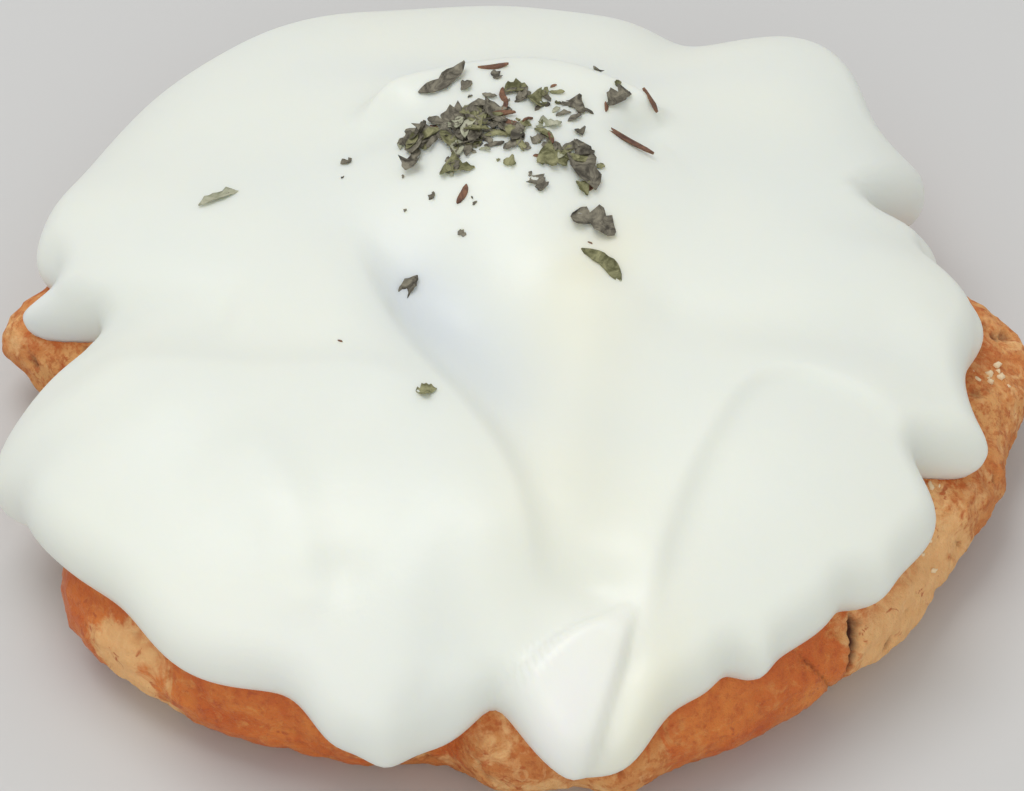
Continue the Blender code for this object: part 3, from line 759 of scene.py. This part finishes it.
# %% Scattering the scraps
def scrap_list(rng):
    """Return every scrap: the large ones by name, then the draws of each scatter."""
    scraps = [(*flake, FLAKE_LIFT, rng.uniform(-0.2, 0.2)) for flake in LARGE_FLAKES.values()]
    for count, centre, spread, turn, lengths, slim, lift, tilt in SCATTERS.values():
        for _ in range(count):
            kind = rng.choices(["grey", "green", "stalk", "pale"], [8, 4, 1, 1])[0]
            along, across = rng.gauss(0, spread[0]), rng.gauss(0, spread[1])
            cos, sin = math.cos(math.radians(turn)), math.sin(math.radians(turn))
            x = centre[0] + along * cos - across * sin
            y = centre[1] + along * sin + across * cos
            length = rng.uniform(*lengths)
            scraps.append((kind, x, y, length, length * rng.uniform(*slim), rng.uniform(0, 180),
                           rng.uniform(HERB_REST, lift), rng.uniform(-tilt, tilt)))
    return scraps


def make_herbs():
    """Make one mesh for each kind of scrap."""
    rng = random.Random(HERB_SEED)
    kinds = {kind: bmesh.new() for kind in ("grey", "green", "pale", "stalk")}
    for kind, *rest in scrap_list(rng):
        lay_scrap(kinds[kind], kind, *rest, rng)
    pieces = {}
    for kind, bm in kinds.items():
        bmesh.ops.recalc_face_normals(bm, faces=bm.faces)
        pieces[kind] = put_piece(bm, f"herb_{kind}")
    return pieces


herbs = make_herbs()

# %% [markdown]
# ## Finishes
#
# A single flat colour would look like plastic: real crust, cream and leaves change a little from
# place to place. Image textures could show that, but noise on Object coordinates has no seams and
# suits any size. Small helpers keep the materials readable: one adds a node with its settings,
# one maps a value through a ramp. A shared group gives the mottling.

# %% Node helpers
def add_node(tree, kind, links=None, **settings):
    """Add a node, set its fields or sockets by name, and link sockets to it."""
    node = tree.nodes.new(kind)
    for key, value in settings.items():
        if key in node.inputs:
            node.inputs[key].default_value = value
        else:
            setattr(node, key, value)
    for name, source in (links or {}).items():
        tree.links.new(source, node.inputs[name])
    return node


def ramp(tree, source, *stops):
    """Map a value through colour stops, each a position and a grey or an RGB colour."""
    node = tree.nodes.new("ShaderNodeValToRGB")
    tree.links.new(source, node.inputs["Fac"])
    elements = node.color_ramp.elements
    while len(elements) < len(stops):
        elements.new(0.5)
    for element, (position, colour) in zip(elements, stops):
        rgb = colour if isinstance(colour, tuple) else (colour,) * 3
        element.position = position
        element.color = (*rgb, 1.0)
    return node.outputs["Color"]


def mix_colour(tree, factor, first, second):
    """Mix two colours, each a socket or an RGB colour, by a socket or a number."""
    node = tree.nodes.new("ShaderNodeMix")
    node.data_type = "RGBA"
    for socket, value in ((node.inputs[0], factor), (node.inputs[6], first), (node.inputs[7], second)):
        if isinstance(value, bpy.types.NodeSocket):
            tree.links.new(value, socket)
        elif isinstance(value, tuple):
            socket.default_value = (*value, 1.0)
        else:
            socket.default_value = value
    return node.outputs[2]


def new_material(name):
    """Return a material, its node tree, its shader and its Object coordinates."""
    material = bpy.data.materials.new(name)
    material.use_nodes = True
    tree = material.node_tree
    where = tree.nodes.new("ShaderNodeTexCoord").outputs["Object"]
    return material, tree, tree.nodes["Principled BSDF"], where


def noise_value(tree, where, scale_mm, detail=3.0, roughness=0.55, distortion=0.0):
    """Return noise whose blobs are about scale_mm apart."""
    node = add_node(tree, "ShaderNodeTexNoise", {"Vector": where}, Scale=1.0 / (scale_mm * MM),
                    Detail=detail, Roughness=roughness, Distortion=distortion)
    return node.outputs["Fac"]


# %% Mottling
def mottling_group():
    """Return a shader node group: a place in, fine and coarse mottling out."""
    group = bpy.data.node_groups.new("mottling", "ShaderNodeTree")
    group.interface.new_socket("Place", in_out="INPUT", socket_type="NodeSocketVector")
    group.interface.new_socket("Coarse", in_out="OUTPUT", socket_type="NodeSocketFloat")
    group.interface.new_socket("Fine", in_out="OUTPUT", socket_type="NodeSocketFloat")
    place = group.nodes.new("NodeGroupInput").outputs["Place"]
    result = group.nodes.new("NodeGroupOutput")
    group.links.new(noise_value(group, place, 5.0, 4.0, 0.6, 0.4), result.inputs["Coarse"])
    group.links.new(noise_value(group, place, 0.9, 4.0, 0.7), result.inputs["Fine"])
    return group


MOTTLING = mottling_group()


def mottling(tree, where):
    """Return the coarse and the fine mottling at a material's coordinates."""
    node = tree.nodes.new("ShaderNodeGroup")
    node.node_tree = MOTTLING
    tree.links.new(where, node.inputs["Place"])
    return node.outputs["Coarse"], node.outputs["Fine"]


print(f"mottling: {len(MOTTLING.nodes)} nodes, shared by the finishes")


def attribute(tree, name):
    """Read a number that the vertices hold."""
    node = tree.nodes.new("ShaderNodeAttribute")
    node.attribute_name = name
    return node.outputs["Fac"]


# %% The cream's finish
CREAM_COLOURS = {
    "shade": (0.80, 0.835, 0.775),
    "light": (0.835, 0.86, 0.775),
    # the colour of painted light
    "painted_light": (0.94, 0.95, 0.90),
    # the cream's yellower tone, also the colour of the painted shade in the tongue's crease
    "warm_and_painted_shade": (0.85, 0.84, 0.68),
    # the colour of painted shade, partly the cooler tone of thin cream
    "cool_and_painted_shade": (0.71, 0.75, 0.755),
}


def cream_material():
    """Make a soft white that lets some light in, with faint ripples and bubbles."""
    material, tree, shader, where = new_material("poured cream")
    coarse, fine = mottling(tree, where)
    tint = ramp(tree, noise_value(tree, where, 22.0, 2.0),
                (0.3, CREAM_COLOURS["shade"]), (0.7, CREAM_COLOURS["light"]))
    # The cool kind and the tongue's crease paint shade onto the cream's colour, the bright kind paints
    # light.
    for kind in ("painted_light", "warm_and_painted_shade", "cool_and_painted_shade"):
        tint = mix_colour(tree, attribute(tree, kind), tint, CREAM_COLOURS[kind])
    tree.links.new(tint, shader.inputs["Base Color"])
    gloss = ramp(tree, coarse, (0.35, 0.3), (0.7, 0.42))
    tree.links.new(gloss, shader.inputs["Roughness"])
    shader.inputs["Subsurface Weight"].default_value = 0.5
    shader.inputs["Subsurface Radius"].default_value = (1.0, 0.9, 0.7)
    shader.inputs["Subsurface Scale"].default_value = 0.002
    shader.inputs["IOR"].default_value = 1.4
    ripple = add_node(tree, "ShaderNodeBump", {"Height": coarse}, Strength=0.15, Distance=0.0004)
    bubbles = add_node(tree, "ShaderNodeBump", {"Height": fine, "Normal": ripple.outputs["Normal"]},
                       Strength=0.12, Distance=0.0001)
    tree.links.new(bubbles.outputs["Normal"], shader.inputs["Normal"])
    print(f"{material.name}: {len(tree.nodes)} nodes")
    return material


cream.data.materials.append(cream_material())


# %% The crust's finish
CRUST_COLOURS = {
    "crumb dark": (0.62, 0.22, 0.06),
    "crumb light": (0.74, 0.37, 0.13),
    "crumb fleck": (0.50, 0.14, 0.035),
    "torn light": (0.92, 0.58, 0.27),
    "torn dark": (0.72, 0.34, 0.115),
    "glaze dark": (0.56, 0.10, 0.012),
    "glaze light": (0.72, 0.22, 0.04),
    "glaze fleck": (0.42, 0.06, 0.01),
    "glaze streak": (0.78, 0.36, 0.10),
    # the colour of painted shade under the cream's lip
    "rim": (0.56, 0.12, 0.02),
    "spot": (0.46, 0.09, 0.02),
    # the colour of painted shade in pits and cracks
    "hollow": (0.10, 0.03, 0.015),
}


def ragged_mask(tree, where, name, size_mm, low, high):
    """Return where a band of the crust shows: its amount on the vertices, with ragged borders."""
    total = add_node(tree, "ShaderNodeMath", operation="MULTIPLY_ADD")
    tree.links.new(attribute(tree, name), total.inputs[0])
    total.inputs[1].default_value = 0.5
    tree.links.new(noise_value(tree, where, size_mm, 5.0, 0.65, 0.8), total.inputs[2])
    return ramp(tree, total.outputs[0], (low, 0.0), (high, 1.0))


def crumb_colour(tree, where, coarse, fine):
    """Return the torn crust's colour: mottled brown with pale crumb in places."""
    hue = CRUST_COLOURS
    patches = ramp(tree, coarse, (0.4, 0.0), (0.6, 1.0))
    flecks = ramp(tree, fine, (0.47, 0.0), (0.6, 0.85))
    crumb = mix_colour(tree, patches, hue["crumb dark"], hue["crumb light"])
    crumb = mix_colour(tree, flecks, crumb, hue["crumb fleck"])
    torn = mix_colour(tree, fine, hue["torn light"], hue["torn dark"])
    return mix_colour(tree, ragged_mask(tree, where, "crumble", 2.4, 0.58, 0.74), crumb, torn)


def glaze_colour(tree, where, coarse, fine):
    """Return the glazed skin's colour: orange with dark flecks and pale streaks."""
    hue = CRUST_COLOURS
    patches = ramp(tree, coarse, (0.35, 0.0), (0.65, 1.0))
    flecks = ramp(tree, fine, (0.5, 0.0), (0.7, 0.6))
    streaks = ramp(tree, noise_value(tree, where, 2.0, 6.0, 0.7, 1.5), (0.55, 0.0), (0.7, 0.6))
    glazed = mix_colour(tree, patches, hue["glaze dark"], hue["glaze light"])
    glazed = mix_colour(tree, flecks, glazed, hue["glaze fleck"])
    return mix_colour(tree, streaks, glazed, hue["glaze streak"])


def crust_material():
    """Make the crust: crumb and glaze, painted shade darker and redder just below the cream, spots,
    and painted shade in its hollows.
    """
    material, tree, shader, where = new_material("baked crust")
    coarse, fine = mottling(tree, where)
    glaze = ragged_mask(tree, where, "glaze", 4.5, 0.72, 0.8)
    colour = mix_colour(tree, glaze, crumb_colour(tree, where, coarse, fine),
                        glaze_colour(tree, where, coarse, fine))
    # painted shade under the cream's lip, broken up by the fine mottling
    rim = add_node(tree, "ShaderNodeMath", operation="MULTIPLY")
    tree.links.new(attribute(tree, "rim"), rim.inputs[0])
    tree.links.new(ramp(tree, fine, (0.4, 0.2), (0.6, 0.8)), rim.inputs[1])
    spots = ramp(tree, noise_value(tree, where, 1.5, 3.0, 0.6, 0.5), (0.63, 0.0), (0.69, 0.8))
    # painted shade: the deeper a pit or crack, the darker
    depth = ramp(tree, attribute(tree, "hollow"), (0.15, 0.0), (0.9, 1.0))
    # the rim and the hollow paint shade; the spots are the crust's own colour
    for mask, name in ((rim.outputs[0], "rim"), (spots, "spot"), (depth, "hollow")):
        colour = mix_colour(tree, mask, colour, CRUST_COLOURS[name])
    tree.links.new(colour, shader.inputs["Base Color"])
    tree.links.new(ramp(tree, glaze, (0.2, 0.8), (0.9, 0.42)), shader.inputs["Roughness"])
    shader.inputs["Specular IOR Level"].default_value = 0.35
    shader.inputs["Subsurface Weight"].default_value = 0.1
    shader.inputs["Subsurface Scale"].default_value = 0.001
    bump = add_node(tree, "ShaderNodeBump", {"Height": fine}, Strength=0.7, Distance=0.0005)
    tree.links.new(bump.outputs["Normal"], shader.inputs["Normal"])
    print(f"{material.name}: {len(tree.nodes)} nodes")
    return material


crust.data.materials.append(crust_material())

# %% The crumbs' finish
PALE_CRUMB, BROWN_CRUMB = (0.92, 0.80, 0.58), (0.80, 0.55, 0.28)


def crumb_material():
    """Make a dry, pale crumb that browns in places."""
    material, tree, shader, where = new_material("pale crumb")
    _, fine = mottling(tree, where)
    tree.links.new(mix_colour(tree, fine, PALE_CRUMB, BROWN_CRUMB), shader.inputs["Base Color"])
    shader.inputs["Roughness"].default_value = 0.85
    print(f"{material.name}: {len(tree.nodes)} nodes")
    return material


crumbs.data.materials.append(crumb_material())


# %% The herbs' finishes
HERB_COLOURS = {
    "grey": ((0.055, 0.047, 0.032), (0.29, 0.265, 0.195)),
    "green": ((0.09, 0.09, 0.03), (0.36, 0.35, 0.18)),
    "pale": ((0.30, 0.31, 0.20), (0.54, 0.54, 0.40)),
    "stalk": ((0.10, 0.045, 0.03), (0.30, 0.15, 0.08)),
}


def herb_material(kind):
    """Make a dried leaf or stalk: dark and light patches, and fine veins."""
    material, tree, shader, where = new_material(f"dried herb {kind}")
    dark, light = HERB_COLOURS[kind]
    patches = ramp(tree, noise_value(tree, where, 1.3, 5.0, 0.7, 0.8), (0.38, 0.0), (0.62, 1.0))
    tree.links.new(mix_colour(tree, patches, dark, light), shader.inputs["Base Color"])
    shader.inputs["Roughness"].default_value = 0.7
    veins = add_node(tree, "ShaderNodeBump", {"Height": noise_value(tree, where, 0.4, 4.0, 0.7)},
                     Strength=0.8, Distance=0.0002)
    tree.links.new(veins.outputs["Normal"], shader.inputs["Normal"])
    print(f"{material.name}: {len(tree.nodes)} nodes")
    return material


for kind, piece in herbs.items():
    piece.data.materials.append(herb_material(kind))

# %% [markdown]
# ## Joining the frame
#
# The scone is one body, so every piece rides on the root. The cream's mesh stands for the cream's
# solid, which also holds the fused herbs, and the crust's mesh for the scone's.

# %% Riding and replacing
for piece in (cream, crust, crumbs, *herbs.values()):
    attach(piece, "root")
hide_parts("cream")
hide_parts("scone")
print("riding on the root:", sorted(piece.name for piece in (cream, crust, crumbs, *herbs.values())))

# %% [markdown]
# ## Stage, camera and light
#
# The camera looks down at 45 degrees from a little distance. Large soft lights, one overhead
# and one from the front, leave the cream bright with only faint shading.

# %% Floor
FLOOR_SIZE = 3.0
floor_mesh = bmesh.new()
bmesh.ops.create_grid(floor_mesh, x_segments=1, y_segments=1, size=FLOOR_SIZE / 2)
floor_data = bpy.data.meshes.new("floor")
floor_mesh.to_mesh(floor_data)
floor_mesh.free()
floor = bpy.data.objects.new("floor", floor_data)
bpy.context.scene.collection.objects.link(floor)
floor_material, floor_tree, floor_shader, _ = new_material("pale floor")
floor_shader.inputs["Base Color"].default_value = (0.62, 0.62, 0.61, 1.0)
floor_shader.inputs["Roughness"].default_value = 0.8
floor.data.materials.append(floor_material)
print(f"floor: {FLOOR_SIZE} m wide")

# %% Camera
CAMERA_TARGET = Vector((0.0003, -0.001, 0.010))
CAMERA_DISTANCE = 0.4
CAMERA_ELEVATION = math.radians(45.0)
SENSOR_WIDTH = 36.0         # millimetres
VIEW_WIDTH = 0.091          # what the frame spans at the target
back = Vector((0.0, -math.cos(CAMERA_ELEVATION), math.sin(CAMERA_ELEVATION)))
lens = bpy.data.cameras.new("camera")
lens.sensor_width = SENSOR_WIDTH
lens.lens = SENSOR_WIDTH * CAMERA_DISTANCE / VIEW_WIDTH
lens.clip_start = 0.01
camera = bpy.data.objects.new("camera", lens)
camera.location = CAMERA_TARGET + back * CAMERA_DISTANCE
camera.rotation_euler = back.to_track_quat("Z", "Y").to_euler()
bpy.context.scene.collection.objects.link(camera)
bpy.context.scene.camera = camera
print(f"camera: {lens.lens:.0f} mm lens")


# %% Light
def soft_light(name, place, size, watts):
    """Add a square area light that faces the scone."""
    data = bpy.data.lights.new(name, "AREA")
    data.size = size
    data.energy = watts
    lamp = bpy.data.objects.new(name, data)
    lamp.location = place
    lamp.rotation_euler = Vector(place).to_track_quat("Z", "Y").to_euler()
    bpy.context.scene.collection.objects.link(lamp)


soft_light("overhead", (-0.22, 0.10, 0.85), 0.5, 2.9)
soft_light("front", (0.0, -0.9, 0.45), 0.8, 1.8)
world = bpy.data.worlds.new("studio")
world.use_nodes = True
world.node_tree.nodes["Background"].inputs["Color"].default_value = (1.0, 1.0, 1.0, 1.0)
world.node_tree.nodes["Background"].inputs["Strength"].default_value = 0.6
bpy.context.scene.world = world
bpy.context.scene.view_settings.view_transform = "Standard"
